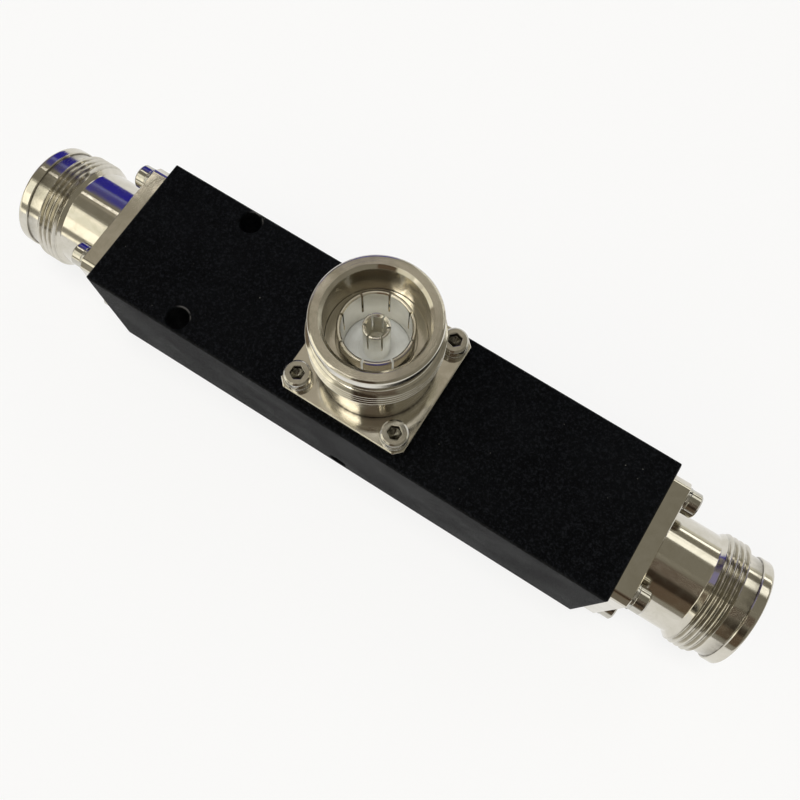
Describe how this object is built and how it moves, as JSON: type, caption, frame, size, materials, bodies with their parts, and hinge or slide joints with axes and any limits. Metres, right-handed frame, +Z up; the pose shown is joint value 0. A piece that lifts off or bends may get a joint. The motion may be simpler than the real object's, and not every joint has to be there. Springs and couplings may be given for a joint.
{
  "type": "coaxial power tapper",
  "caption": "Square black bar with a threaded coaxial socket on each end and one on top, which taps a share of the power that passes through.",
  "frame": {"origin": "centre of the bar's bottom face", "axes": "+X along the bar from the input to the output, +Y across it, +Z up through the tap"},
  "size_m": [0.1402, 0.025, 0.0464],
  "materials": {
    "black_coat": "matte",
    "bare_brass": "satin",
    "shell_plate": "polished",
    "contact_plate": "polished",
    "contact_silver": "polished",
    "insulator": "satin",
    "seal": "matte",
    "stainless": "satin",
    "washer_steel": "satin"
  },
  "bodies": {
    "root": {"housing": "black_coat", "line_conductor": "bare_brass", "tap_conductor": "bare_brass", "input_shell": "shell_plate", "input_outer_contact": "contact_plate", "input_center_contact": "contact_silver", "input_insulator": "insulator", "input_seal": "seal", "input_screws": "stainless", "input_lock_washers": "washer_steel", "output_shell": "shell_plate", "output_outer_contact": "contact_plate", "output_center_contact": "contact_silver", "output_insulator": "insulator", "output_seal": "seal", "output_screws": "stainless", "output_lock_washers": "washer_steel", "tap_shell": "shell_plate", "tap_outer_contact": "contact_plate", "tap_center_contact": "contact_silver", "tap_insulator": "insulator", "tap_seal": "seal", "tap_screws": "stainless", "tap_lock_washers": "washer_steel"}
  },
  "joints": []
}
